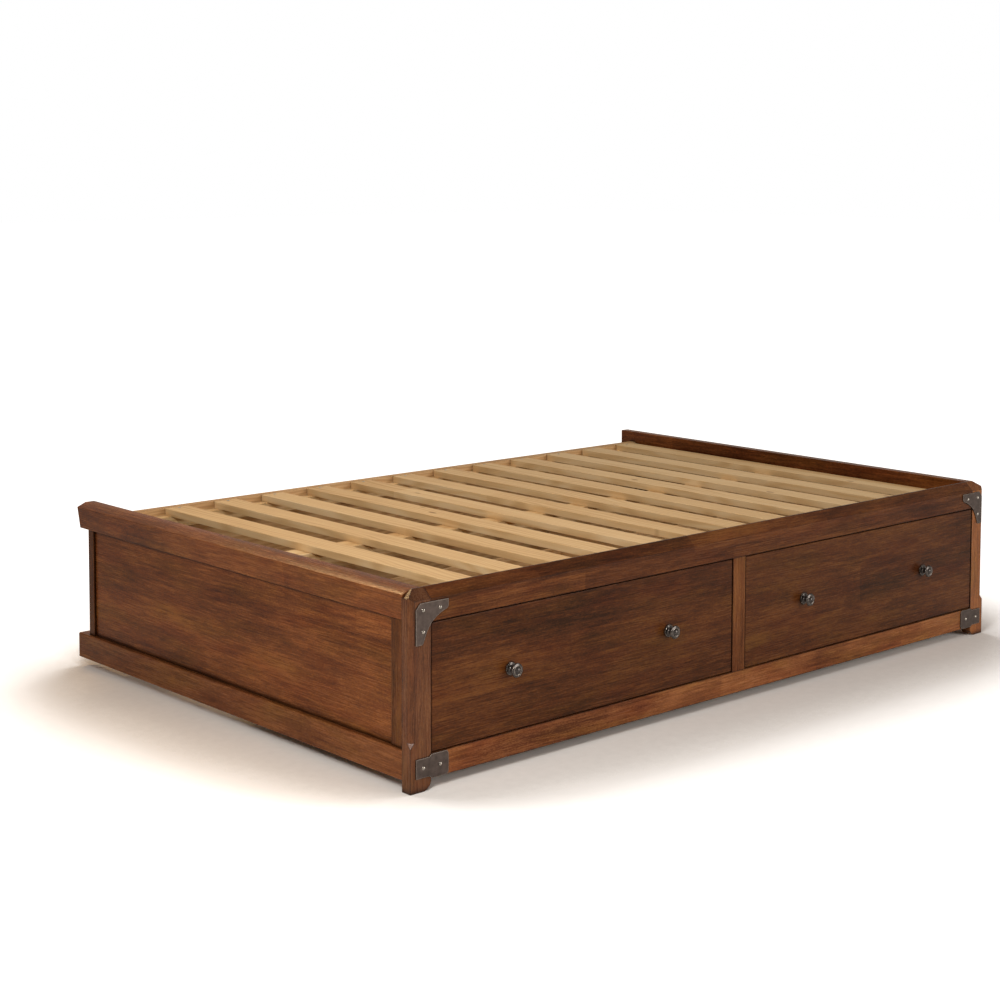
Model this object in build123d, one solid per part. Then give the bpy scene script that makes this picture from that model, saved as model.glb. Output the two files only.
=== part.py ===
from build123d import *
import os

# Lounge bed base with panelled ends and two storage drawers, in millimetres.
# +X runs along the length, the drawers pull out towards -Y, and +Z is up.

# Overall size
bed_length = 2060.0
bed_depth = 1360.0
bed_height = 428.0
foot_height = 25.0

# Front frame: two posts, two rails and a centre stile
post_width = 56.0
frame_thickness = 28.0
stile_width = 45.0
top_rail_height = 70.0
bottom_rail_height = 53.0
bevel_run = 24.0
bevel_drop = 22.0
side_bevel_drop = 16.0
corner_chamfer = 11.0
chamfer_stop_rise = 10.0
chamfer_stop_length = 12.0
foot_round = 22.0

# Dowels of the front frame
dowel_radius = 4.0
dowel_length = 40.0
dowel_edge = 12.0
dowel_clearance = 0.1

# Corner plates and their screws
plate_inset = 14.0
plate_top_gap = 5.0
plate_edge_gap = 1.0
plate_leg = 88.0
plate_root = 43.0
plate_tip = 19.0
plate_scoop = 3.0
plate_corner_cut = 12.0
plate_tip_round = 8.0
plate_step = 5.0
plate_thickness = 2.5
plate_screw_side = 20.0
plate_screw_top = 15.0
plate_screw_pitch = 46.0
screw_head_radius = 5.0
screw_head_height = 3.0
screw_shank_radius = 2.0
screw_length = 20.0
screw_clearance = 0.1
plate_hole_clearance = 0.3

# End panels
cap_width = 50.0
cap_height = 66.0
cap_corner_drop = 10.0
cap_lean = 8.0
base_thickness = 41.0
base_rail_height = 61.0
base_bevel = 2.0
panel_inset = 16.0
panel_thickness = 12.0
panel_groove_depth = 8.0
panel_clearance = 0.2
stile_inset = 10.0
end_front_stile_width = 47.0
end_back_stile_width = 24.0
panel_back_setback = 38.0

# Mattress platform
slat_drop = 33.0
slat_thickness = 18.0
slat_width = 70.0
slat_count = 13
slat_end_gap = 2.0
slat_edge_margin = 20.0
ledger_height = 30.0
ledger_depth = 30.0
beam_height = 45.0
leg_size = 45.0
back_rail_thickness = 25.0
back_rail_height = 205.0
back_leg_inboard = 180.0
centre_leg_inboard = 115.0

# Drawer bays
bay_board_thickness = 15.0
bay_ground_gap = 15.0
bay_back_gap = 67.0
bay_back_thickness = 18.0

# Holes through the back rail for bolting the base to a bookcase or a wall rail
wall_bolt_radius = 4.5
wall_bolt_spacing = 1200.0
wall_bolt_drop = 75.0

# Ball-bearing slides: outer channel on the bay board, middle channel, inner channel on the drawer
slide_width = 12.7
slide_height = 45.0
slide_length = 550.0
slide_sheet = 1.4
slide_clearance = 0.4
slide_web_gap = 0.8
slide_outer_lip = 9.5
slide_middle_lip = 10.5
slide_inner_lip = 4.4
slide_start_gap = 2.0

# Drawers
drawer_gap = 2.5
drawer_recess = 1.0
drawer_front_thickness = 20.0
drawer_edge_round = 1.5
box_board = 12.0
box_past_slide = 10.0
box_top_gap = 58.0
box_floor_gap = 22.0
box_bottom_thickness = 6.0
box_bottom_raise = 12.0
box_groove_depth = 5.0
box_groove_clearance = 0.1
tail_count = 4
tail_wide = 34.0
tail_narrow = 28.0

# Knobs and their screws
knob_length = 28.0
knob_head_radius = 16.0
knob_head_height = 20.0
knob_neck_radius = 6.5
knob_neck_height = 9.0
knob_flare_radius = 9.0
knob_flare_height = 15.5
knob_foot_radius = 14.0
knob_foot_rim = 2.5
knob_ring_radius = 11.0
knob_ring_height = 24.0
knob_rim_radius = 15.0
knob_rim_height = 22.5
knob_ring_step = 1.2
knob_offset = 250.0
knob_hole_depth = 18.0
knob_screw_radius = 2.0
knob_screw_grip = 16.0
knob_screw_head_radius = 4.0
knob_screw_head_height = 2.5
knob_screw_clearance = 0.1

# Places worked out from the sizes above
knob_reach = knob_length - drawer_recess
front_y = knob_reach - (bed_depth + knob_reach) / 2
back_y = front_y + bed_depth
frame_back_y = front_y + frame_thickness
half_length = bed_length / 2
post_inner_x = half_length - post_width
opening_bottom = foot_height + bottom_rail_height
opening_top = bed_height - top_rail_height
face_top = bed_height - bevel_drop
base_face_top = foot_height + base_rail_height
base_top = base_face_top + base_bevel
cap_inner_x = half_length - cap_width
cap_bottom = bed_height - cap_height
panel_back_y = back_y - panel_back_setback
back_rail_y = panel_back_y - back_rail_thickness
slat_top = bed_height - slat_drop
slat_bottom = slat_top - slat_thickness
ledger_bottom = slat_bottom - ledger_height
beam_bottom = slat_bottom - beam_height
drawer_face_y = front_y + drawer_recess
box_front_y = drawer_face_y + drawer_front_thickness
box_back_y = box_front_y + slide_length + box_past_slide
box_bottom_z = opening_bottom + box_floor_gap
box_top_z = opening_top - box_top_gap
box_floor_z = box_bottom_z + box_bottom_raise
bay_bottom = foot_height + bay_ground_gap
bay_back_y = box_back_y + bay_back_gap
leg_front_y = bay_back_y + bay_back_thickness
slide_mid_z = (box_bottom_z + box_top_z) / 2
slide_front_y = frame_back_y + slide_start_gap
knob_z = (opening_bottom + opening_top) / 2

nodes = {}


# Helpers


def block(x0, x1, y0, y1, z0, z1):
    """A board between two corners."""
    centre = Pos((x0 + x1) / 2, (y0 + y1) / 2, (z0 + z1) / 2)
    return centre * Box(x1 - x0, y1 - y0, z1 - z0)


def outline(points):
    """A flat face inside a closed run of straight lines."""
    return make_face(Polyline(*points, close=True))


def bar_x(points, x0, x1):
    """A bar along X whose section is a list of (y, z) points."""
    return extrude(Plane.YZ.offset(x0) * outline(points), x1 - x0)


def bar_y(points, y0, y1):
    """A bar along Y whose section is a list of (x, z) points."""
    return extrude(Plane.XZ.offset(-y0) * outline(points), y0 - y1)


def rod_y(x, z, radius, y0, y1):
    """A round bar along Y."""
    circle = Plane.XZ.offset(-y0) * (Pos(x, z) * Circle(radius))
    return extrude(circle, y0 - y1)


def rod_x(y, z, radius, x0, x1):
    """A round bar along X."""
    return extrude(Plane.YZ.offset(x0) * (Pos(y, z) * Circle(radius)), x1 - x0)


def rod_z(x, y, radius, z0, z1):
    """A round bar along Z."""
    return extrude(Plane.XY.offset(z0) * (Pos(x, y) * Circle(radius)), z1 - z0)


def dome(radius, rim_height, top_height):
    """A round cap from a rim to the axis, level where it meets the axis."""
    rise = top_height - rim_height
    return Spline((radius, rim_height), (0, top_height), tangents=[(-radius, 2 * rise), (-1, 0)])


def turned(profile):
    """A turned piece from a half profile of (radius, height), with its axis pointing to the front."""
    return Rot(90, 0, 0) * revolve(Plane.XZ * make_face(profile), Axis.Z)


def mirrored(shape):
    """The same piece on the other side of the bed's middle."""
    return mirror(shape, about=Plane.YZ)


def keep_pair(name, left_piece):
    """Keep a left piece and its mirror image on the right."""
    nodes["left_" + name] = left_piece
    nodes["right_" + name] = mirrored(left_piece)


def group(pieces):
    """Separate solids that share one node."""
    return Compound([piece.solid() for piece in pieces])


# Front frame


def left_dowels(clearance):
    """The dowels at the left ends of the rails and on the left of the centre stile, or their holes."""
    radius = dowel_radius + clearance
    half = dowel_length / 2 + clearance
    middle_y = (front_y + frame_back_y) / 2
    rail_heights = [
        foot_height + dowel_edge,
        opening_bottom - dowel_edge,
        opening_top + dowel_edge,
        face_top - dowel_edge,
    ]
    stile_x = dowel_edge - stile_width / 2
    pieces = [rod_x(middle_y, z, radius, -post_inner_x - half, half - post_inner_x) for z in rail_heights]
    pieces += [rod_z(stile_x, middle_y, radius, z - half, z + half) for z in (opening_bottom, opening_top)]
    return pieces


def dowels(clearance):
    """Every dowel of the front frame, or with a clearance every dowel hole."""
    left = left_dowels(clearance)
    return left + [mirrored(dowel) for dowel in left]


def plate_screw_places():
    """Where the left plates' screws go: (x, z), with the piece of the frame that each one enters."""
    outer_x = -half_length + plate_inset + plate_screw_side
    inner_x = outer_x + plate_screw_pitch
    top_z = face_top - plate_top_gap - plate_screw_top
    low_z = (foot_height + opening_bottom) / 2
    return [
        (outer_x, top_z, "post"),
        (outer_x, top_z - plate_screw_pitch, "post"),
        (inner_x, top_z, "top_rail"),
        (outer_x, low_z, "post"),
        (inner_x, low_z, "bottom_rail"),
    ]


def screw_holes(piece_name):
    """Pilot holes of the plate screws in one piece of the front frame, left side."""
    radius = screw_shank_radius + screw_clearance
    deep_y = front_y + screw_length
    holes = []
    for x, z, entered in plate_screw_places():
        if entered == piece_name:
            holes.append(rod_y(x, z, radius, front_y, deep_y))
    return holes


def left_post():
    """A corner post with its foot, a stopped chamfer and a top that slopes to the front and the side."""
    outer_x = -half_length
    body = block(outer_x, -post_inner_x, front_y, frame_back_y, 0, bed_height)
    foot_edge = body.edges().filter_by(Axis.Y).sort_by(Axis.Z)[:2].sort_by(Axis.X)[-1]
    body = fillet(foot_edge, foot_round)
    front_slope = [(front_y, face_top), (front_y, bed_height), (front_y + bevel_run, bed_height)]
    body -= bar_x(front_slope, outer_x, -post_inner_x)
    side_low = bed_height - side_bevel_drop
    side_slope = [(outer_x, side_low), (outer_x, bed_height), (outer_x + bevel_run, bed_height)]
    body -= bar_y(side_slope, front_y, frame_back_y)
    corner = [
        (outer_x, front_y),
        (outer_x + corner_chamfer, front_y),
        (outer_x, front_y + corner_chamfer),
    ]
    stop_low = base_face_top + chamfer_stop_rise
    stop_high = stop_low + chamfer_stop_length
    chamfer_start = Plane.XY.offset(stop_high) * outline(corner)
    body -= extrude(chamfer_start, bed_height - stop_high)
    body -= loft([Vertex(outer_x, front_y, stop_low), chamfer_start.face()])
    return body - screw_holes("post") - left_dowels(dowel_clearance)


def front_top_rail():
    """The upper rail, sloped along its front edge like the posts."""
    section = [
        (front_y, opening_top),
        (front_y, face_top),
        (front_y + bevel_run, bed_height),
        (frame_back_y, bed_height),
        (frame_back_y, opening_top),
    ]
    rail = bar_x(section, -post_inner_x, post_inner_x)
    left_holes = screw_holes("top_rail")
    rail -= left_holes + [mirrored(hole) for hole in left_holes]
    return rail - dowels(dowel_clearance)


def front_bottom_rail():
    """The lower rail, flush with the posts."""
    rail = block(-post_inner_x, post_inner_x, front_y, frame_back_y, foot_height, opening_bottom)
    left_holes = screw_holes("bottom_rail")
    rail -= left_holes + [mirrored(hole) for hole in left_holes]
    return rail - dowels(dowel_clearance)


def centre_stile():
    """The upright between the two drawers."""
    half = stile_width / 2
    stile = block(-half, half, front_y, frame_back_y, opening_bottom, opening_top)
    return stile - dowels(dowel_clearance)


keep_pair("post", left_post())
nodes["front_top_rail"] = front_top_rail()
nodes["front_bottom_rail"] = front_bottom_rail()
nodes["centre_stile"] = centre_stile()
nodes["frame_dowels"] = group(dowels(0))


# Corner plates


def plate_holes():
    """Clearance holes of the left plates' screws."""
    radius = screw_shank_radius + plate_hole_clearance
    return [rod_y(x, z, radius, front_y - plate_thickness, front_y) for x, z, _ in plate_screw_places()]


def front_plane(z):
    """A drawing plane on the front face, with its origin at the plates' outer edge."""
    return Plane(origin=(-half_length + plate_inset, front_y, z), x_dir=(1, 0, 0), z_dir=(0, -1, 0))


def top_left_plate():
    """An L-shaped plate with a cut corner and two arms that narrow in a hollow curve."""
    root = (plate_root, -plate_root)
    across_tip = (plate_leg, -plate_tip)
    down_tip = (plate_tip, -plate_leg)
    edge = Polyline(
        down_tip, (0, -plate_leg), (0, -plate_corner_cut), (plate_corner_cut, 0), (plate_leg, 0), across_tip
    )
    edge += SagittaArc(across_tip, root, -plate_scoop)
    edge += SagittaArc(root, down_tip, -plate_scoop)
    face = make_face(edge)
    tips = face.vertices().filter_by(lambda v: max(v.X, -v.Y) > plate_leg - plate_tip_round)
    inner_tips = tips.filter_by(lambda v: min(v.X, -v.Y) > 0)
    face = fillet(inner_tips, plate_tip_round)
    plate = extrude(front_plane(face_top - plate_top_gap) * face, plate_thickness)
    return plate - plate_holes()


def bottom_left_plate():
    """A plate over the joint of the post and the lower rail, stepped in where it crosses the post."""
    half = (opening_bottom - foot_height) / 2 - plate_edge_gap
    joint = post_width - plate_inset
    points = [
        (0, plate_step - half),
        (0, half - plate_step),
        (joint - plate_step, half - plate_step),
        (joint, half),
        (plate_leg, half),
        (plate_leg, -half),
        (joint, -half),
        (joint - plate_step, plate_step - half),
    ]
    face = outline(points)
    inner_end = face.vertices().sort_by(Axis.X)[-2:]
    face = fillet(inner_end, plate_tip_round)
    plate = extrude(front_plane((foot_height + opening_bottom) / 2) * face, plate_thickness)
    return plate - plate_holes()


def plate_screw(x, z):
    """A dome-headed wood screw."""
    buried = screw_length + plate_thickness
    profile = Polyline(
        (0, 0),
        (0, -buried),
        (screw_shank_radius, -buried),
        (screw_shank_radius, 0),
        (screw_head_radius, 0),
    )
    profile += dome(screw_head_radius, 0, screw_head_height)
    profile += Line((0, screw_head_height), (0, 0))
    return Pos(x, front_y - plate_thickness, z) * turned(profile)


nodes["top_left_plate"] = top_left_plate()
nodes["top_right_plate"] = mirrored(nodes["top_left_plate"])
nodes["bottom_left_plate"] = bottom_left_plate()
nodes["bottom_right_plate"] = mirrored(nodes["bottom_left_plate"])
left_screws = [plate_screw(x, z) for x, z, _ in plate_screw_places()]
nodes["plate_screws"] = group(left_screws + [mirrored(screw) for screw in left_screws])


# End panels


def panel_box(clearance):
    """The end panel's board, grown by a clearance on both faces: its own size or its grooves'."""
    x0 = -half_length + panel_inset - clearance
    x1 = -half_length + panel_inset + panel_thickness + clearance
    y0 = frame_back_y + end_front_stile_width - panel_groove_depth
    y1 = panel_back_y - end_back_stile_width + panel_groove_depth
    z0 = base_top - panel_groove_depth
    z1 = cap_bottom + panel_groove_depth
    return block(x0, x1, y0, y1, z0, z1)


def left_cap_rail():
    """The top rail of an end: a sloped top over a face that leans in towards its lower edge."""
    outer_x = -half_length
    section = [
        (outer_x + cap_lean, cap_bottom),
        (outer_x, bed_height - cap_corner_drop),
        (outer_x + bevel_run, bed_height),
        (outer_x + cap_width, bed_height),
        (outer_x + cap_width, cap_bottom),
    ]
    return bar_y(section, frame_back_y, back_y) - panel_box(panel_clearance)


def left_base_rail():
    """The bottom rail of an end, with a bevel along its upper edge."""
    outer_x = -half_length
    section = [
        (outer_x, foot_height),
        (outer_x, base_face_top),
        (outer_x + base_bevel, base_top),
        (outer_x + base_thickness, base_top),
        (outer_x + base_thickness, foot_height),
    ]
    return bar_y(section, frame_back_y, back_y) - panel_box(panel_clearance)


def left_front_stile():
    """The upright at the front of an end, grooved for the panel."""
    x0 = -half_length + stile_inset
    x1 = -half_length + base_thickness
    y1 = frame_back_y + end_front_stile_width
    return block(x0, x1, frame_back_y, y1, base_top, cap_bottom) - panel_box(panel_clearance)


def left_back_stile():
    """The upright at the back of an end, thick enough to carry the back rail."""
    x0 = -half_length + stile_inset
    y0 = panel_back_y - end_back_stile_width
    upright = block(x0, -cap_inner_x, y0, panel_back_y, base_top, cap_bottom)
    return upright - panel_box(panel_clearance)


keep_pair("cap_rail", left_cap_rail())
keep_pair("base_rail", left_base_rail())
keep_pair("end_panel", panel_box(0))
keep_pair("end_front_stile", left_front_stile())
keep_pair("end_back_stile", left_back_stile())


# Mattress platform


def back_rail():
    """The board that ties the two ends together at the back, drilled for bolts."""
    rail_bottom = slat_top - back_rail_height
    rail = block(-cap_inner_x, cap_inner_x, back_rail_y, panel_back_y, rail_bottom, slat_top)
    bolt_z = slat_top - wall_bolt_drop
    for bolt_x in (-wall_bolt_spacing / 2, wall_bolt_spacing / 2):
        rail -= rod_y(bolt_x, bolt_z, wall_bolt_radius, back_rail_y, panel_back_y)
    return rail


def slat_middles():
    """The middle of each slat along the bed."""
    first_x = -cap_inner_x + slat_edge_margin + slat_width / 2
    pitch = -2 * first_x / (slat_count - 1)
    return [first_x + i * pitch for i in range(slat_count)]


def slat(x):
    """One slat, which runs from front to back."""
    y0 = frame_back_y + slat_end_gap
    y1 = back_rail_y - slat_end_gap
    return block(x - slat_width / 2, x + slat_width / 2, y0, y1, slat_bottom, slat_top)


def ledger(half, y0):
    """A bar that carries one end of every slat."""
    return block(-half, half, y0, y0 + ledger_depth, ledger_bottom, slat_bottom)


def leg(x, y0, top_z):
    """A square leg that stands on the floor."""
    return block(x - leg_size / 2, x + leg_size / 2, y0, y0 + leg_size, 0, top_z)


nodes["front_ledger"] = ledger(post_inner_x, frame_back_y)
nodes["back_rail"] = back_rail()
nodes["back_ledger"] = ledger(cap_inner_x, back_rail_y - ledger_depth)
nodes["centre_beam"] = block(
    -cap_inner_x, cap_inner_x, bay_back_y, leg_front_y + leg_size, beam_bottom, slat_bottom
)
nodes["slats"] = group([slat(x) for x in slat_middles()])
keep_pair("back_leg", leg(back_leg_inboard - half_length, back_rail_y - leg_size, ledger_bottom))
keep_pair("centre_leg", leg(centre_leg_inboard - half_length, leg_front_y, beam_bottom))
nodes["middle_centre_leg"] = leg(0, leg_front_y, beam_bottom)


# Drawer bays


def bay_board(x0):
    """An upright board that carries one slide."""
    x1 = x0 + bay_board_thickness
    return block(x0, x1, frame_back_y, bay_back_y, bay_bottom, ledger_bottom)


keep_pair("outer_bay_board", bay_board(-post_inner_x - bay_board_thickness))
keep_pair("inner_bay_board", bay_board(-stile_width / 2))
nodes["bay_back_board"] = block(
    -post_inner_x, post_inner_x, bay_back_y, leg_front_y, bay_bottom, beam_bottom
)


# Slides, drawn on the left side of a drawer with u measured from the bay board


def channel(web, lip, half_height):
    """The section of a sheet-steel channel, from its web to the end of its lips."""
    inner_web = web + slide_sheet if lip > web else web - slide_sheet
    inner_height = half_height - slide_sheet
    return [
        (web, -half_height),
        (lip, -half_height),
        (lip, -inner_height),
        (inner_web, -inner_height),
        (inner_web, inner_height),
        (lip, inner_height),
        (lip, half_height),
        (web, half_height),
    ]


def slide_pair(section, y0, opening):
    """A channel on each side of a drawer opening."""
    left_x, right_x = opening
    left_points = [(left_x + u, slide_mid_z + v) for u, v in section]
    right_points = [(right_x - u, slide_mid_z + v) for u, v in section]
    return [bar_y(points, y0, y0 + slide_length) for points in (left_points, right_points)]


outer_half = slide_height / 2
middle_half = outer_half - slide_sheet - slide_clearance
inner_half = middle_half - slide_sheet - slide_clearance
outer_section = channel(0, slide_outer_lip, outer_half)
middle_section = channel(slide_sheet + slide_web_gap, slide_middle_lip, middle_half)
inner_section = channel(slide_width, slide_inner_lip, inner_half)

left_opening = (-post_inner_x, -stile_width / 2)
left_outer_members = slide_pair(outer_section, slide_front_y, left_opening)
nodes["slide_outer_members"] = group(left_outer_members + [mirrored(m) for m in left_outer_members])
left_middle = slide_pair(middle_section, slide_front_y, left_opening)
nodes["left_slide_middle_members"] = group(left_middle)
nodes["right_slide_middle_members"] = group([mirrored(m) for m in left_middle])


# Drawers, drawn on the left and mirrored to the right

box_left_x = left_opening[0] + slide_width
box_right_x = left_opening[1] - slide_width
drawer_mid_x = (left_opening[0] + left_opening[1]) / 2
knob_places = [drawer_mid_x - knob_offset, drawer_mid_x + knob_offset]


def tails(x0):
    """The dovetails at both ends of a drawer side whose outer or inner face starts at x0."""
    pitch = (box_top_z - box_bottom_z) / tail_count
    pieces = []
    for end_y, root_y in [
        (box_front_y, box_front_y + box_board),
        (box_back_y, box_back_y - box_board),
    ]:
        for i in range(tail_count):
            z = box_bottom_z + (i + 0.5) * pitch
            points = [
                (root_y, z - tail_narrow / 2),
                (end_y, z - tail_wide / 2),
                (end_y, z + tail_wide / 2),
                (root_y, z + tail_narrow / 2),
            ]
            pieces.append(bar_x(points, x0, x0 + box_board))
    return pieces


def floor_board(clearance):
    """The drawer's floor, or with a clearance the groove that it slides into."""
    inset = box_board - box_groove_depth
    return block(
        box_left_x + inset - clearance,
        box_right_x - inset + clearance,
        box_front_y + inset - clearance,
        box_back_y - inset + clearance,
        box_floor_z - clearance,
        box_floor_z + box_bottom_thickness + clearance,
    )


def drawer_side(x0):
    """A drawer side with dovetails at both ends and a groove for the floor."""
    core = block(
        x0, x0 + box_board, box_front_y + box_board, box_back_y - box_board, box_bottom_z, box_top_z
    )
    return core + tails(x0) - floor_board(box_groove_clearance)


def drawer_end(y0):
    """The front or back board of a drawer box, with sockets for the dovetails."""
    board = block(box_left_x, box_right_x, y0, y0 + box_board, box_bottom_z, box_top_z)
    board -= tails(box_left_x) + tails(box_right_x - box_board)
    return board - floor_board(box_groove_clearance)


def knob_holes(y0, y1):
    """Clearance holes for the knob screws through a board."""
    radius = knob_screw_radius + knob_screw_clearance
    return [rod_y(x, knob_z, radius, y0, y1) for x in knob_places]


def drawer_front():
    """The show face of a drawer, with a narrow gap all round inside the front frame."""
    board = block(
        left_opening[0] + drawer_gap,
        left_opening[1] - drawer_gap,
        drawer_face_y,
        box_front_y,
        opening_bottom + drawer_gap,
        opening_top - drawer_gap,
    )
    face_edges = board.faces().sort_by(Axis.Y)[0].edges()
    return fillet(face_edges, drawer_edge_round) - knob_holes(drawer_face_y, box_front_y)


def knob(x):
    """A turned knob: a rosette foot, a waisted neck and a mushroom head with a ringed face."""
    hole_radius = knob_screw_radius + knob_screw_clearance
    foot_edge = (knob_foot_radius, knob_foot_rim)
    neck = (knob_neck_radius, knob_neck_height)
    flare = (knob_flare_radius, knob_flare_height)
    head_edge = (knob_head_radius, knob_head_height)
    rim = (knob_rim_radius, knob_rim_height)
    ring_edge = (knob_ring_radius, knob_ring_height)
    groove = (knob_ring_radius - knob_ring_step, knob_ring_height - knob_ring_step)
    profile = Polyline((0, knob_hole_depth), (hole_radius, knob_hole_depth), (hole_radius, 0))
    profile += Polyline((hole_radius, 0), (knob_foot_radius, 0), foot_edge)
    profile += Spline(foot_edge, neck, flare, head_edge)
    profile += Polyline(head_edge, rim, ring_edge, groove)
    profile += dome(groove[0], groove[1], knob_length)
    profile += Line((0, knob_length), (0, knob_hole_depth))
    return Pos(x, drawer_face_y, knob_z) * turned(profile)


def knob_screw(x):
    """A machine screw through the box and the drawer front into a knob."""
    seat_y = box_front_y + box_board
    shank = rod_y(x, knob_z, knob_screw_radius, drawer_face_y - knob_screw_grip, seat_y)
    head = rod_y(x, knob_z, knob_screw_head_radius, seat_y, seat_y + knob_screw_head_height)
    return shank + head


def keep_drawer_piece(name, piece):
    """Keep a piece of the left drawer and its mirror image in the right drawer."""
    nodes["left_drawer_" + name] = piece
    nodes["right_drawer_" + name] = mirrored(piece)


keep_drawer_piece("front", drawer_front())
keep_drawer_piece("box_front", drawer_end(box_front_y) - knob_holes(box_front_y, box_front_y + box_board))
keep_drawer_piece("box_back", drawer_end(box_back_y - box_board))
keep_drawer_piece("outer_side", drawer_side(box_left_x))
keep_drawer_piece("inner_side", drawer_side(box_right_x - box_board))
keep_drawer_piece("floor", floor_board(0))
keep_drawer_piece("outer_knob", knob(knob_places[0]))
keep_drawer_piece("inner_knob", knob(knob_places[1]))

left_knob_screws = [knob_screw(x) for x in knob_places]
nodes["left_drawer_knob_screws"] = group(left_knob_screws)
nodes["right_drawer_knob_screws"] = group([mirrored(screw) for screw in left_knob_screws])
left_inner_members = slide_pair(inner_section, slide_front_y, left_opening)
nodes["left_drawer_slide_members"] = group(left_inner_members)
nodes["right_drawer_slide_members"] = group([mirrored(m) for m in left_inner_members])


os.makedirs("parts", exist_ok=True)
for name, piece in nodes.items():
    export_step(piece, "parts/" + name + ".step")
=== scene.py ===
import math

import bmesh
import bpy
from mathutils import Matrix, Vector

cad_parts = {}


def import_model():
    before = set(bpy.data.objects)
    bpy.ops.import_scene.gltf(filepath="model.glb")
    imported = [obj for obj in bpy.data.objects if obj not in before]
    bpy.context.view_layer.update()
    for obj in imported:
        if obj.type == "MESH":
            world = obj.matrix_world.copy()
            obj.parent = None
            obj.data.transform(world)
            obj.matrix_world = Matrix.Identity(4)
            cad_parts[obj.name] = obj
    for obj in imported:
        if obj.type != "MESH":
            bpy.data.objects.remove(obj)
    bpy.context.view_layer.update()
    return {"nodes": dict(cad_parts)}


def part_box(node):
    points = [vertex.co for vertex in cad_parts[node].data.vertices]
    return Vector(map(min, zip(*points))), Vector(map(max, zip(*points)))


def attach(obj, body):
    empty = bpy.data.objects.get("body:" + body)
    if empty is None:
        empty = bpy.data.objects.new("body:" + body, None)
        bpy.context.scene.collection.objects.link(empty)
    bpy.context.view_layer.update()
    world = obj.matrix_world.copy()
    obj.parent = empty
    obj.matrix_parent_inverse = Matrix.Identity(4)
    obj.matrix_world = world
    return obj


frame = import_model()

# Looks of a storage bed base: stained cherry outside, pale wood inside, dark metal fittings. Metres.

scene = bpy.context.scene
nodes = frame["nodes"]

# Camera, fitted to the edges of the bed in the photograph; angles in degrees, lens and sensor in mm
camera_place = Vector((-3.4922, -3.6777, 1.3261))
camera_azimuth = 41.981
camera_pitch = 4.31
camera_roll = 0.128
camera_lens = 68.848
camera_sensor = 36.0
camera_shift = -0.2

# Edge easing: in the shape of boards without holes, and in the shading of every piece
board_easing = 0.0011
shaded_easing = 0.0012
easing_angle = 40.0
weld_distance = 0.00001

# Screw heads on the slats
slat_count = 13
slat_width = 0.07
slat_screw_radius = 0.0042
slat_screw_sides = 24
slat_screw_rise = 0.0006
slat_screw_inset = 0.0135

# Figure of the wood
figure_step = (1.7, 2.3, 0.9)  # from one board to the next: along the grain, across it and in depth
grain_wander = 0.014
stained_ring_spacing = 0.021
plain_ring_spacing = 0.012
ring_bend = 9.0  # in rings
stave_stagger = 7.0  # in staves

# Colours laid over the tones of the wood and the metal
# The first colour below is dark glaze and also painted shade, in corners and beside the front's gaps.
glaze_and_shade_colour = "#1d0d06"
pore_fill = "#21110b"
soaked_end = "#24120b"
red_blush = "#8a3d30"
green_cast = "#eeffd0"
# The worn colour below is worn stain and also a painted highlight along edges.
worn_stain_and_highlight = "#a5714a"
knot_brown = "#6b4323"
pale_end = "#7d5733"
rubbed_metal = "#b0a69c"

# How strongly edge glaze with painted shade, painted shade in corners, and soaked end grain show, from 0
# to 1
edge_glaze_and_shade = 0.8
upright_corner_shade = 0.85
level_corner_shade = 0.4
upright_board_soak = 0.62
level_board_soak = 0.25

# How far from an edge, a corner or the bed these marks reach; in corners and on the floor round the bed
# they are painted shade
wood_edge_reach = 0.004
metal_edge_reach = 0.0026
corner_shade_reach = 0.02
shadow_reach = 0.9

# Gloss of the wood, as the shader's specular level
lacquer_gloss = 0.1
post_gloss = 0.2
planed_gloss = 0.25

# White studio
ambient = 0.26
ambient_tint = "#ffead8"
mirrored_white = 0.24
floor_size = 60.0


def srgb(code):
    """A linear colour from a hex code."""
    channels = [int(code[i : i + 2], 16) / 255 for i in (1, 3, 5)]
    linear = [c / 12.92 if c <= 0.04045 else ((c + 0.055) / 1.055) ** 2.4 for c in channels]
    return (*linear, 1.0)


# Node trees


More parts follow.
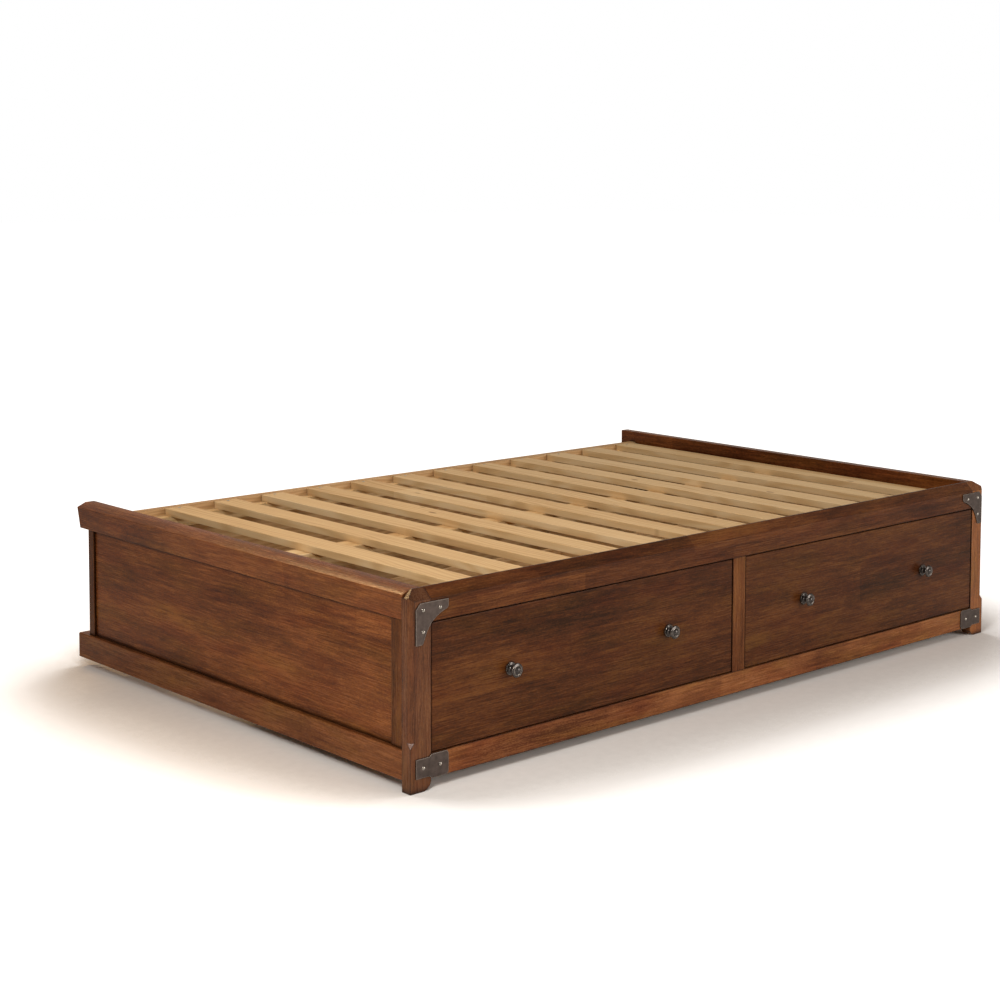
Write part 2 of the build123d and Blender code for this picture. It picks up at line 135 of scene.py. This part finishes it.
class Tree:
    """Short ways to add nodes to a material or a world. A value is a number, a colour or a socket."""

    def __init__(self, owner):
        owner.use_nodes = True
        self.owner = owner
        self.nodes = owner.node_tree.nodes
        self.links = owner.node_tree.links

    def feed(self, socket, value):
        if isinstance(value, bpy.types.NodeSocket):
            self.links.new(value, socket)
        else:
            socket.default_value = value

    def set(self, **sockets):
        """Fill the shader's sockets; underscores in the names stand for spaces."""
        for name, value in sockets.items():
            self.feed(self.nodes["Principled BSDF"].inputs[name.replace("_", " ")], value)

    def math(self, operation, a, b=0.0, c=0.0):
        node = self.nodes.new("ShaderNodeMath")
        node.operation = operation
        for socket, value in zip(node.inputs, (a, b, c)):
            self.feed(socket, value)
        return node.outputs[0]

    def times(self, a, b):
        return self.math("MULTIPLY", a, b)

    def stretch(self, value, low, high, new_low=0.0, new_high=1.0, smooth=False):
        """Map a range of values to another range."""
        node = self.nodes.new("ShaderNodeMapRange")
        node.interpolation_type = "SMOOTHSTEP" if smooth else "LINEAR"
        for socket, number in zip(node.inputs, (value, low, high, new_low, new_high)):
            self.feed(socket, number)
        return node.outputs[0]

    def about(self, middle, *weighted):
        """A middle value plus the weighted swings of several noises about a half."""
        total = middle - sum(weight for _, weight in weighted) / 2
        for value, weight in weighted:
            total = self.math("MULTIPLY_ADD", value, weight, total)
        return total

    def vector(self, x, y, z):
        node = self.nodes.new("ShaderNodeCombineXYZ")
        for socket, value in zip(node.inputs, (x, y, z)):
            self.feed(socket, value)
        return node.outputs[0]

    def split(self, vector):
        node = self.nodes.new("ShaderNodeSeparateXYZ")
        self.feed(node.inputs[0], vector)
        return dict(zip("xyz", node.outputs))

    def place(self):
        """The place on the object in metres, which keeps still when the object moves."""
        return self.split(self.nodes.new("ShaderNodeTexCoord").outputs["Object"])

    def noise(self, vector, detail, roughness):
        node = self.nodes.new("ShaderNodeTexNoise")
        self.feed(node.inputs["Vector"], vector)
        node.inputs["Scale"].default_value = 1.0
        node.inputs["Detail"].default_value = detail
        node.inputs["Roughness"].default_value = roughness
        return node.outputs["Fac"]

    def grit(self, waves, detail, roughness):
        """Noise with so many waves per metre along x, y and z."""
        place = self.place()
        scaled = [self.times(place[axis], count) for axis, count in zip("xyz", waves)]
        return self.noise(self.vector(*scaled), detail, roughness)

    def chance(self, x, y=0.0):
        """One random number for each pair of whole numbers."""
        node = self.nodes.new("ShaderNodeTexWhiteNoise")
        node.noise_dimensions = "2D"
        self.feed(node.inputs["Vector"], self.vector(x, y, 0.0))
        return node.outputs["Value"]

    def mix(self, factor, a, b, blend="MIX"):
        node = self.nodes.new("ShaderNodeMix")
        node.data_type = "RGBA"
        node.blend_type = blend
        for socket, value in zip((node.inputs[0], node.inputs[6], node.inputs[7]), (factor, a, b)):
            self.feed(socket, value)
        return node.outputs[2]

    def tint(self, colour, code, mask, share, blend="MIX"):
        """Lay a colour over another one where the mask is set, as strongly as the share says."""
        return self.mix(self.times(mask, share), colour, srgb(code), blend)

    def ramp(self, value, places, codes):
        """Turn values into colours that run from one code to the next."""
        node = self.nodes.new("ShaderNodeValToRGB")
        elements = node.color_ramp.elements
        while len(elements) < len(places):
            elements.new(1.0)
        for element, place, code in zip(elements, places, codes):
            element.position = place
            element.color = srgb(code)
        self.feed(node.inputs[0], value)
        return node.outputs[0]

    def rounded(self, radius):
        """The surface's direction with its sharp edges rounded."""
        node = self.nodes.new("ShaderNodeBevel")
        node.samples = 6
        node.inputs["Radius"].default_value = radius
        return node.outputs[0]

    def edges(self, reach):
        """How close a point is to an edge of its piece, from 0 to about 0.3."""
        flat = self.nodes.new("ShaderNodeNewGeometry")
        dot = self.nodes.new("ShaderNodeVectorMath")
        dot.operation = "DOT_PRODUCT"
        self.feed(dot.inputs[0], self.rounded(reach))
        self.feed(dot.inputs[1], flat.outputs["Normal"])
        return self.math("SUBTRACT", 1.0, dot.outputs["Value"])

    def openness(self, reach, samples):
        """How free a point is of other surfaces within reach, from 0 to 1 on open faces."""
        node = self.nodes.new("ShaderNodeAmbientOcclusion")
        node.samples = samples
        node.inputs["Distance"].default_value = reach
        return node.outputs["AO"]

    def corners(self, reach):
        """How deep a point lies in a corner between pieces, from 0 on open faces to 1."""
        return self.stretch(self.openness(reach, samples=8), 0.88, 0.6, smooth=True)

    def facing(self, axis):
        """How squarely a face looks along an axis, from 0 to 1."""
        normal = self.split(self.nodes.new("ShaderNodeNewGeometry").outputs["Normal"])
        return self.math("ABSOLUTE", normal[axis])

    def bump(self, height, strength, distance):
        """Fine relief on top of slightly rounded edges."""
        node = self.nodes.new("ShaderNodeBump")
        node.inputs["Strength"].default_value = strength
        node.inputs["Distance"].default_value = distance
        self.feed(node.inputs["Height"], height)
        self.feed(node.inputs["Normal"], self.rounded(shaded_easing))
        return node.outputs[0]


def material(name):
    return Tree(bpy.data.materials.new(name))


# Wood


class Grain:
    """The figure of a board. The axes name the grain's direction, the board's width and its thickness."""

    def __init__(self, tree, axes, seed):
        place = tree.place()
        shifted = [tree.math("ADD", place[axis], step * seed) for axis, step in zip(axes, figure_step)]
        self.tree = tree
        self.end_axis = axes[0]
        self.along, self.across, self.depth = shifted
        wander = self.field(along=1.1, across=4.0, detail=1.0)
        self.across = tree.math("MULTIPLY_ADD", wander, grain_wander, self.across)

    def field(self, along, across, detail=2.0, roughness=0.5):
        """Noise with so many waves per metre along the grain and across it."""
        tree = self.tree
        vector = tree.vector(
            tree.times(self.along, along),
            tree.times(self.across, across),
            tree.times(self.depth, across),
        )
        return tree.noise(vector, detail, roughness)

    def staves(self, width, length):
        """A tone for each of the strips that the board is glued up from."""
        tree = self.tree
        row = tree.math("FLOOR", tree.math("DIVIDE", self.across, width))
        start = tree.times(tree.chance(row), stave_stagger)
        cell = tree.math("FLOOR", tree.math("ADD", tree.math("DIVIDE", self.along, length), start))
        return tree.chance(row, cell)

    def rings(self, spacing):
        """Growth rings cut lengthwise: long bands that bend and pinch together."""
        tree = self.tree
        bend = self.field(along=1.6, across=7.0)
        phase = tree.math("MULTIPLY_ADD", bend, ring_bend, tree.math("DIVIDE", self.across, spacing))
        wave = tree.math("SINE", tree.times(phase, 2 * math.pi))
        return tree.math("MULTIPLY_ADD", wave, 0.5, 0.5)

    def knots(self):
        """Small marks drawn out along the grain, 1 in the middle of a knot and 0 outside."""
        tree = self.tree
        spots = tree.nodes.new("ShaderNodeTexVoronoi")
        spots.inputs["Scale"].default_value = 1.0
        place = tree.vector(tree.times(self.along, 5.0), tree.times(self.across, 14.0), 0.0)
        tree.feed(spots.inputs["Vector"], place)
        return tree.stretch(spots.outputs["Distance"], 0.05, 0.1, 1.0, 0.0, smooth=True)


def stain(grain, tones, stave, mottle, fibre):
    """The stain's light and dark figure, with a red blush in places and a green cast in others."""
    tree = grain.tree
    streak = grain.field(along=2.4, across=62.0, detail=4.0, roughness=0.7)
    fleck = grain.field(along=26.0, across=150.0, detail=3.0, roughness=0.6)
    speckle = grain.field(along=150.0, across=420.0, detail=2.0, roughness=0.6)
    tone = tree.about(
        0.5,
        (grain.staves(*stave), 0.2),
        (mottle, 0.8),
        (streak, 0.6),
        (fleck, 0.35),
        (grain.rings(stained_ring_spacing), 0.06),
        (fibre, 0.7),
        (speckle, 0.6),
    )
    colour = tree.ramp(tone, (0.18, 0.5, 0.82), tones)
    blush = tree.stretch(grain.field(along=6.0, across=24.0, detail=3.0), 0.46, 0.7)
    colour = tree.tint(colour, red_blush, blush, 0.3, "OVERLAY")
    cast = tree.stretch(grain.field(along=5.0, across=17.0, detail=3.0), 0.48, 0.68)
    return tree.tint(colour, green_cast, cast, 0.55, "MULTIPLY")


def glaze_and_shade_edges(grain, colour):
    """Dark glaze along the edges of a board, also painted shade that widens the dark lines of the gaps.
    """
    tree = grain.tree
    edge = tree.stretch(tree.edges(wood_edge_reach), 0.01, 0.09, smooth=True)
    return tree.tint(colour, glaze_and_shade_colour, edge, edge_glaze_and_shade)


def wear_and_highlight_edges(grain, colour):
    """Edges of a board lightened in places: worn stain, and also a painted highlight along the edges."""
    tree = grain.tree
    edge = tree.stretch(tree.edges(wood_edge_reach), 0.02, 0.2, smooth=True)
    rub = tree.stretch(grain.field(along=7.0, across=26.0, detail=3.0), 0.4, 0.6)
    return tree.tint(colour, worn_stain_and_highlight, tree.times(edge, rub), 0.55)


def paint_corner_shade(tree, colour, end):
    """Painted shade in the corners between pieces: thin on level faces, and none on end grain."""
    share = tree.stretch(tree.facing("z"), 0.5, 0.9, upright_corner_shade, level_corner_shade)
    share = tree.times(share, tree.math("SUBTRACT", 1.0, end))
    return tree.tint(colour, glaze_and_shade_colour, tree.corners(corner_shade_reach), share)


def stained(name, axes, tones, seed, stave, glazed_and_shaded, gloss):
    """Cherry-stained wood under satin lacquer. Tones go from the dark of the figure to its light."""
    tree = material(name)
    grain = Grain(tree, axes, seed)
    mottle = grain.field(along=3.4, across=8.0, detail=3.0, roughness=0.6)
    fibre = grain.field(along=16.0, across=380.0, detail=2.0, roughness=0.6)
    pore = tree.stretch(grain.field(along=55.0, across=1300.0, detail=1.0), 0.6, 0.72)
    end = tree.stretch(tree.facing(grain.end_axis), 0.55, 0.8)
    soak = upright_board_soak if grain.end_axis == "z" else level_board_soak
    colour = stain(grain, tones, stave, mottle, fibre)
    colour = tree.tint(colour, pore_fill, pore, 0.45)
    colour = tree.tint(colour, soaked_end, end, soak)
    # Front boards get dark glaze that is also painted shade beside the gaps; the others get worn stain
    # with a painted highlight on their edges.
    colour = glaze_and_shade_edges(grain, colour) if glazed_and_shaded else wear_and_highlight_edges(grain, colour)
    tree.set(
        # The base colour also takes painted shade in the corners between pieces.
        Base_Color=paint_corner_shade(tree, colour, end),
        Roughness=tree.about(0.25, (mottle, 0.3), (fibre, 0.25)),
        Specular_IOR_Level=gloss,
        Normal=tree.bump(tree.math("SUBTRACT", fibre, pore), 0.25, 0.0004),
    )
    return tree.owner


def plain(name, axes, tones, seed, stave, knotty):
    """Pale planed wood with no stain, as inside a drawer or on a slat."""
    tree = material(name)
    grain = Grain(tree, axes, seed)
    mottle = grain.field(along=2.5, across=10.0, detail=3.0, roughness=0.6)
    streak = grain.field(along=1.6, across=70.0, detail=3.0, roughness=0.6)
    fibre = grain.field(along=8.0, across=480.0, detail=2.0, roughness=0.6)
    tone = tree.about(
        0.5,
        (grain.staves(*stave), 0.25),
        (mottle, 0.5),
        (streak, 0.7),
        (grain.rings(plain_ring_spacing), 0.3),
        (fibre, 0.35),
    )
    colour = tree.ramp(tone, (0.1, 0.5, 0.9), tones)
    if knotty:
        colour = tree.tint(colour, knot_brown, grain.knots(), 0.7)
    end = tree.stretch(tree.facing(grain.end_axis), 0.8, 0.95)
    tree.set(
        Base_Color=tree.tint(colour, pale_end, end, 0.6),
        Roughness=tree.about(0.55, (mottle, 0.2), (fibre, 0.2)),
        Specular_IOR_Level=planed_gloss,
        Normal=tree.bump(fibre, 0.2, 0.0004),
    )
    return tree.owner


# Metal


def pewter(name, dark, light, roughness):
    """Dark cast metal, rubbed bright along its edges and slightly pitted."""
    tree = material(name)
    cloud = tree.grit((90.0, 90.0, 90.0), detail=4.0, roughness=0.6)
    pits = tree.grit((900.0, 900.0, 900.0), detail=2.0, roughness=0.5)
    colour = tree.ramp(tree.about(0.5, (cloud, 1.2), (pits, 0.5)), (0.2, 0.8), (dark, light))
    edge = tree.stretch(tree.edges(metal_edge_reach), 0.02, 0.22, smooth=True)
    tree.set(
        Base_Color=tree.tint(colour, rubbed_metal, edge, 0.7),
        Metallic=0.85,
        Roughness=tree.about(roughness, (cloud, 0.35), (pits, 0.2)),
        Normal=tree.bump(pits, 0.12, 0.0003),
    )
    return tree.owner


def steel(name, dark, light, roughness):
    """Plated steel with fine drawing lines from front to back."""
    tree = material(name)
    lines = tree.grit((1400.0, 12.0, 1400.0), detail=3.0, roughness=0.6)
    cloud = tree.grit((25.0, 25.0, 25.0), detail=3.0, roughness=0.6)
    tree.set(
        Base_Color=tree.ramp(tree.about(0.5, (lines, 0.6), (cloud, 0.6)), (0.25, 0.75), (dark, light)),
        Metallic=1.0,
        Roughness=tree.about(roughness, (lines, 0.3), (cloud, 0.2)),
        Normal=tree.bump(lines, 0.06, 0.0002),
    )
    return tree.owner


# Tones of the wood: dark, middle and light
drawer_tones = ("#2e1809", "#4e2a13", "#69401e")
top_rail_tones = ("#331a0b", "#552f17", "#734623")
bottom_rail_tones = ("#502b17", "#7c4b2b", "#9f693e")
centre_stile_tones = ("#41220e", "#663b1d", "#82532d")
post_tones = ("#3e2211", "#613a20", "#7c5232")
# The right post has lighter tones than the left one.
right_post_tones = ("#562e13", "#854e25", "#a56b37")
end_tones = ("#4a2611", "#724120", "#965d31")
base_tones = ("#462512", "#6b3f22", "#8d5a34")
end_stile_tones = ("#3b1e0e", "#5b341a", "#784a27")
box_tones = ("#b58f63", "#cfae80", "#e0c69b")
slat_tones = ("#bf9b6b", "#d8ba8a", "#e6cfa6")
board_tones = ("#a47f56", "#bf9b6e", "#d2b388")

# Boards by how their names end: axes of grain, width and thickness, tones, and a stave's width and length
stained_pieces = {
    "drawer_front": ("xzy", drawer_tones, (0.092, 1.4)),
    "front_top_rail": ("xzy", top_rail_tones, (0.2, 0.5)),
    "front_bottom_rail": ("xzy", bottom_rail_tones, (0.2, 0.36)),
    "centre_stile": ("zxy", centre_stile_tones, (0.2, 2.0)),
    "post": ("zxy", post_tones, (0.2, 2.0)),
    "right_post": ("zxy", right_post_tones, (0.2, 2.0)),
    "cap_rail": ("yzx", end_tones, (0.2, 0.5)),
    "base_rail": ("yzx", base_tones, (0.2, 0.5)),
    "end_panel": ("yzx", end_tones, (0.095, 1.5)),
    "end_front_stile": ("zyx", end_stile_tones, (0.2, 2.0)),
    "end_back_stile": ("zyx", end_stile_tones, (0.2, 2.0)),
}
plain_pieces = {
    "box_front": ("xzy", box_tones, (0.1, 2.0)),
    "box_back": ("xzy", box_tones, (0.1, 2.0)),
    "outer_side": ("yzx", box_tones, (0.1, 2.0)),
    "inner_side": ("yzx", box_tones, (0.1, 2.0)),
    "drawer_floor": ("xyz", box_tones, (0.6, 3.0)),
    "slats": ("yxz", slat_tones, (0.151, 3.0)),
    "ledger": ("xzy", slat_tones, (0.2, 3.0)),
    "back_rail": ("xzy", board_tones, (0.2, 3.0)),
    "centre_beam": ("xzy", slat_tones, (0.2, 3.0)),
    "leg": ("zxy", slat_tones, (0.2, 3.0)),
    "bay_board": ("yzx", board_tones, (0.4, 3.0)),
    "bay_back_board": ("xzy", board_tones, (0.4, 3.0)),
    "frame_dowels": ("xzy", slat_tones, (0.2, 3.0)),
}
metal_pieces = {
    "plate": pewter("pewter_plate", "#403834", "#5e534e", roughness=0.46),
    "knob": pewter("pewter_knob", "#302d2c", "#585452", roughness=0.22),
    "plate_screws": steel("screw_steel", "#7d7871", "#b9b3ab", roughness=0.2),
    "knob_screws": steel("zinc_screw", "#9a9c9e", "#c9cbcc", roughness=0.35),
    "members": steel("zinc_slide", "#8e9194", "#bfc2c4", roughness=0.36),
}

# Boards of the front, whose edges get dark glaze that is also painted shade beside the gaps
front_boards = ("drawer_front", "top_rail", "bottom_rail", "centre_stile", "post")

# Boards with holes keep the shape of their edges, which the shading rounds
drilled_boards = (*front_boards, "box_front", "back_rail")


def kind_of(node_name, kinds):
    """The longest kind that the node's name ends with, or None."""
    fitting = [kind for kind in kinds if node_name.endswith(kind)]
    return max(fitting, key=len) if fitting else None


def dress(piece, finish):
    piece.data.materials.clear()
    piece.data.materials.append(finish)


def ease(piece):
    """Round the sharp edges of a board a little."""
    weld = piece.modifiers.new("weld", "WELD")
    weld.merge_threshold = weld_distance
    bevel = piece.modifiers.new("ease", "BEVEL")
    bevel.width = board_easing
    bevel.segments = 2
    bevel.limit_method = "ANGLE"
    bevel.angle_limit = math.radians(easing_angle)
    bevel.use_clamp_overlap = False
    shade = piece.modifiers.new("shade", "WEIGHTED_NORMAL")
    shade.keep_sharp = False


def finish_node(name, piece, seed):
    """Give a node its material, and ease its edges if it is a board without holes."""
    stained_kind = kind_of(name, stained_pieces)
    plain_kind = kind_of(name, plain_pieces)
    metal_kind = kind_of(name, metal_pieces)
    if stained_kind:
        axes, tones, stave = stained_pieces[stained_kind]
        glazed_and_shaded = name.endswith(front_boards)
        gloss = post_gloss if name.endswith("post") else lacquer_gloss
        dress(piece, stained("stained_" + name, axes, tones, seed, stave, glazed_and_shaded, gloss))
    elif plain_kind:
        axes, tones, stave = plain_pieces[plain_kind]
        dress(piece, plain("plain_" + name, axes, tones, seed, stave, knotty=plain_kind == "slats"))
    else:
        dress(piece, metal_pieces[metal_kind])
    if not metal_kind and not name.endswith(drilled_boards):
        ease(piece)


# Screw heads that hold the slats


def add_screw_head(mesh, x, y, z):
    """A flat round head, a little proud of the wood."""
    rim = bmesh.ops.create_circle(
        mesh,
        cap_ends=True,
        radius=slat_screw_radius,
        segments=slat_screw_sides,
        matrix=Matrix.Translation((x, y, z)),
    )
    face = rim["verts"][0].link_faces[0]
    raised = bmesh.ops.extrude_face_region(mesh, geom=[face])["geom"]
    top = [item for item in raised if isinstance(item, bmesh.types.BMVert)]
    bmesh.ops.translate(mesh, verts=top, vec=(0, 0, slat_screw_rise))


def slat_screw_heads():
    """A screw at the front and back end of each slat."""
    low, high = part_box("slats")
    pitch = (high.x - low.x - slat_width) / (slat_count - 1)
    mesh = bmesh.new()
    for i in range(slat_count):
        x = low.x + slat_width / 2 + i * pitch
        add_screw_head(mesh, x, low.y + slat_screw_inset, high.z)
        add_screw_head(mesh, x, high.y - slat_screw_inset, high.z)
    data = bpy.data.meshes.new("slat_screw_heads")
    mesh.to_mesh(data)
    mesh.free()
    piece = bpy.data.objects.new("slat_screw_heads", data)
    scene.collection.objects.link(piece)
    dress(piece, metal_pieces["knob_screws"])
    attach(piece, "bed_frame")


# Floor and light


def shows_white(tree):
    """1 for rays that show the background, less for mirrored ones, 0 for those that light the bed."""
    path = tree.nodes.new("ShaderNodeLightPath").outputs
    mirrored = tree.times(path["Is Glossy Ray"], mirrored_white)
    seen = tree.math("MAXIMUM", path["Is Camera Ray"], path["Is Transmission Ray"])
    return tree.math("MAXIMUM", seen, mirrored)


def floor():
    """A pale floor that turns to white away from the bed and keeps a soft shadow around it, partly the
    lamps' shadow and partly painted shade.
    """
    bpy.ops.mesh.primitive_plane_add(size=floor_size)
    piece = bpy.context.object
    piece.name = "floor"
    tree = material("pale_floor")
    specks = tree.grit((40.0, 40.0, 40.0), detail=3.0, roughness=0.6)
    tree.set(
        Base_Color=tree.ramp(specks, (0.3, 0.7), ("#efefee", "#f4f4f3")),
        Roughness=0.9,
        Specular_IOR_Level=0.0,
    )
    glow = tree.nodes.new("ShaderNodeEmission")
    # The glow fades where the bed is near, which paints shade round and under the bed; there the lamps'
    # own shadow shows.
    glow_by_openness = tree.stretch(tree.openness(shadow_reach, samples=16), 0.7, 1.0, smooth=True)
    tree.feed(glow.inputs["Strength"], tree.times(glow_by_openness, shows_white(tree)))
    both = tree.nodes.new("ShaderNodeAddShader")
    tree.feed(both.inputs[0], tree.nodes["Principled BSDF"].outputs[0])
    tree.feed(both.inputs[1], glow.outputs[0])
    tree.feed(tree.nodes["Material Output"].inputs["Surface"], both.outputs[0])
    dress(piece, tree.owner)


def world():
    """A white studio that lights the bed softly."""
    scene.world = bpy.data.worlds.new("studio")
    tree = Tree(scene.world)
    back = tree.nodes["Background"]
    white = shows_white(tree)
    tree.feed(back.inputs["Color"], tree.mix(white, srgb(ambient_tint), srgb("#ffffff")))
    tree.feed(back.inputs["Strength"], tree.stretch(white, 0.0, 1.0, ambient, 1.0))


def softbox(name, place, aim, size, power, colour, spread=180.0):
    """A soft lamp that points at the bed; a small spread in degrees keeps its light near the aim."""
    light = bpy.data.lights.new(name, "AREA")
    light.shape = "RECTANGLE"
    light.size, light.size_y = size
    light.spread = math.radians(spread)
    light.energy = power
    light.color = srgb(colour)[:3]
    lamp = bpy.data.objects.new(name, light)
    lamp.location = place
    lamp.rotation_euler = (Vector(aim) - Vector(place)).to_track_quat("-Z", "Y").to_euler()
    scene.collection.objects.link(lamp)


def lamps():
    """A large lamp before the bed, one above it, and three small ones that bring out its left end."""
    softbox(
        "key",
        place=(2.6, -6.2, 2.0),
        aim=(0.0, -0.6, 0.2),
        size=(4.0, 2.4),
        power=205.0,
        colour="#fffaf4",
    )
    softbox(
        "side",
        place=(-2.9, -1.9, 1.75),
        aim=(-1.0, -0.7, 0.25),
        size=(1.0, 0.4),
        power=10.5,
        colour="#fff6ec",
        spread=90.0,
    )
    softbox(
        "back",
        place=(-0.45, 2.5, 2.9),
        aim=(-1.0, -0.55, 0.4),
        size=(1.7, 0.4),
        power=6.0,
        colour="#ffd195",
        spread=60.0,
    )
    softbox(
        "top",
        place=(0.6, 0.6, 3.4),
        aim=(0.1, 0.1, 0.4),
        size=(2.0, 1.2),
        power=16.0,
        colour="#fff6ec",
    )
    softbox(
        "glint",
        place=(-2.62, -1.87, 2.37),
        aim=(-1.0, -0.6, 0.1),
        size=(0.3, 0.3),
        power=18.0,
        colour="#ffffff",
    )


def camera():
    """The photograph's viewing angle, with the lens shifted so that uprights stay upright."""
    azimuth, pitch, roll = (math.radians(a) for a in (camera_azimuth, camera_pitch, camera_roll))
    flat = math.cos(pitch)
    forward = Vector((math.sin(azimuth) * flat, math.cos(azimuth) * flat, -math.sin(pitch)))
    level = Vector((math.cos(azimuth), -math.sin(azimuth), 0))
    upward = level.cross(forward)
    right = level * math.cos(roll) + upward * math.sin(roll)
    up = upward * math.cos(roll) - level * math.sin(roll)
    data = bpy.data.cameras.new("camera")
    data.lens = camera_lens
    data.sensor_width = camera_sensor
    data.shift_y = camera_shift
    piece = bpy.data.objects.new("camera", data)
    turn = Matrix((right, up, -forward)).transposed().to_4x4()
    piece.matrix_world = Matrix.Translation(camera_place) @ turn
    scene.collection.objects.link(piece)
    scene.camera = piece


for seed, (name, piece) in enumerate(sorted(nodes.items())):
    finish_node(name, piece, seed)
slat_screw_heads()
floor()
world()
lamps()
camera()
scene.view_settings.view_transform = "Standard"
